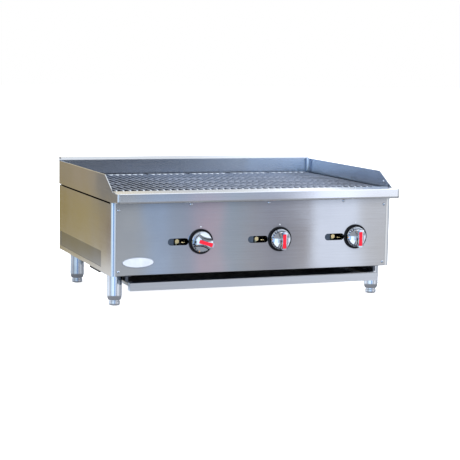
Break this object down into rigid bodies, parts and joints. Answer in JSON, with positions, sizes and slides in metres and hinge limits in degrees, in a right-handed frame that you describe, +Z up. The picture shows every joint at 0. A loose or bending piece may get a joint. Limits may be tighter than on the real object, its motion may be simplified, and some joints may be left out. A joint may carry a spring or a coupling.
{
  "type": "gas charbroiler grill",
  "caption": "Countertop gas charbroiler with lift-out cast-iron grates, radiants, U-shaped burners, control knobs, sliding drip tray, splash guards and adjustable legs.",
  "frame": {"origin": "on the counter, under the middle of the whole object's box (the gas pipe's end included)", "axes": "+X to the operator's right, +Y from the front panel to the back, +Z up"},
  "size_m": [0.914, 0.743, 0.4025],
  "materials": {
    "stainless_steel": "brushed, satin",
    "polished_steel": "polished",
    "galvanised_steel": "dull galvanised",
    "liner_steel": "dull, heat darkened",
    "cast_iron": "as cast, seasoned",
    "brass": "machined",
    "black_pipe": "satin black",
    "chrome": "bright chrome",
    "black_plastic": "semi-gloss"
  },
  "bodies": {
    "cabinet": {"left_side_panel": "stainless_steel", "left_side_splash": "stainless_steel", "right_side_panel": "stainless_steel", "right_side_splash": "stainless_steel", "rear_splash": "stainless_steel", "rear_panel": "stainless_steel", "front_panel": "stainless_steel", "front_rail": "stainless_steel", "left_base_rail": "galvanised_steel", "left_firebox_liner": "liner_steel", "left_tray_guide": "galvanised_steel", "right_base_rail": "galvanised_steel", "right_firebox_liner": "liner_steel", "right_tray_guide": "galvanised_steel", "front_firebox_liner": "liner_steel", "rear_firebox_liner": "liner_steel", "front_grate_rest": "liner_steel", "rear_grate_rest": "liner_steel", "front_left_leg": "polished_steel", "front_right_leg": "polished_steel", "rear_left_leg": "polished_steel", "rear_right_leg": "polished_steel", "left_burner": "liner_steel", "left_radiant": "cast_iron", "left_valve_body": "brass", "left_pilot": "brass", "middle_burner": "liner_steel", "middle_radiant": "cast_iron", "middle_valve_body": "brass", "middle_pilot": "brass", "right_burner": "liner_steel", "right_radiant": "cast_iron", "right_valve_body": "brass", "right_pilot": "brass", "gas_manifold": "black_pipe", "manifold_elbow": "black_pipe", "gas_supply_pipe": "black_pipe", "left_bezel": "black_plastic", "middle_bezel": "black_plastic", "right_bezel": "black_plastic"},
    "grate_1": {"grate_1": "cast_iron"},
    "grate_2": {"grate_2": "cast_iron"},
    "grate_3": {"grate_3": "cast_iron"},
    "grate_4": {"grate_4": "cast_iron"},
    "grate_5": {"grate_5": "cast_iron"},
    "grate_6": {"grate_6": "cast_iron"},
    "drip_tray": {"drip_tray": "stainless_steel"},
    "left_knob": {"left_knob": "chrome", "left_valve_stem": "brass"},
    "left_air_shutter": {"left_air_shutter": "galvanised_steel"},
    "middle_knob": {"middle_knob": "chrome", "middle_valve_stem": "brass"},
    "middle_air_shutter": {"middle_air_shutter": "galvanised_steel"},
    "right_knob": {"right_knob": "chrome", "right_valve_stem": "brass"},
    "right_air_shutter": {"right_air_shutter": "galvanised_steel"},
    "front_left_foot": {"front_left_foot": "polished_steel"},
    "front_right_foot": {"front_right_foot": "polished_steel"},
    "rear_left_foot": {"rear_left_foot": "polished_steel"},
    "rear_right_foot": {"rear_right_foot": "polished_steel"}
  },
  "joints": [
    {"name": "drip_tray_slide", "type": "slide", "parent": "cabinet", "child": "drip_tray", "axis": [0, -1, 0], "range_m": [0, 0.4]},
    {"name": "left_knob_turn", "type": "hinge", "parent": "cabinet", "child": "left_knob", "pos_m": [-0.178, -0.3085, 0.1925], "axis": [0, -1, 0], "range_deg": [-72.5, 17.5]},
    {"name": "middle_knob_turn", "type": "hinge", "parent": "cabinet", "child": "middle_knob", "pos_m": [0.0795, -0.3085, 0.1925], "axis": [0, -1, 0], "range_deg": [0, 90]},
    {"name": "right_knob_turn", "type": "hinge", "parent": "cabinet", "child": "right_knob", "pos_m": [0.337, -0.3085, 0.1925], "axis": [0, -1, 0], "range_deg": [0, 90]},
    {"name": "left_air_shutter_turn", "type": "hinge", "parent": "cabinet", "child": "left_air_shutter", "pos_m": [-0.178, -0.2605, 0.1925], "axis": [0, -1, 0], "range_deg": [0, 60]},
    {"name": "middle_air_shutter_turn", "type": "hinge", "parent": "cabinet", "child": "middle_air_shutter", "pos_m": [0.0795, -0.2605, 0.1925], "axis": [0, -1, 0], "range_deg": [0, 60]},
    {"name": "right_air_shutter_turn", "type": "hinge", "parent": "cabinet", "child": "right_air_shutter", "pos_m": [0.337, -0.2605, 0.1925], "axis": [0, -1, 0], "range_deg": [0, 60]},
    {"name": "grate_1_lift", "type": "slide", "parent": "cabinet", "child": "grate_1", "axis": [0, 0, 1], "range_m": [0, 0.15]},
    {"name": "grate_2_lift", "type": "slide", "parent": "cabinet", "child": "grate_2", "axis": [0, 0, 1], "range_m": [0, 0.15]},
    {"name": "grate_3_lift", "type": "slide", "parent": "cabinet", "child": "grate_3", "axis": [0, 0, 1], "range_m": [0, 0.15]},
    {"name": "grate_4_lift", "type": "slide", "parent": "cabinet", "child": "grate_4", "axis": [0, 0, 1], "range_m": [0, 0.15]},
    {"name": "grate_5_lift", "type": "slide", "parent": "cabinet", "child": "grate_5", "axis": [0, 0, 1], "range_m": [0, 0.15]},
    {"name": "grate_6_lift", "type": "slide", "parent": "cabinet", "child": "grate_6", "axis": [0, 0, 1], "range_m": [0, 0.15]},
    {"name": "front_left_foot_screw", "type": "slide", "parent": "cabinet", "child": "front_left_foot", "axis": [0, 0, -1], "range_m": [0, 0.025]},
    {"name": "front_right_foot_screw", "type": "slide", "parent": "cabinet", "child": "front_right_foot", "axis": [0, 0, -1], "range_m": [0, 0.025]},
    {"name": "rear_left_foot_screw", "type": "slide", "parent": "cabinet", "child": "rear_left_foot", "axis": [0, 0, -1], "range_m": [0, 0.025]},
    {"name": "rear_right_foot_screw", "type": "slide", "parent": "cabinet", "child": "rear_right_foot", "axis": [0, 0, -1], "range_m": [0, 0.025]}
  ]
}
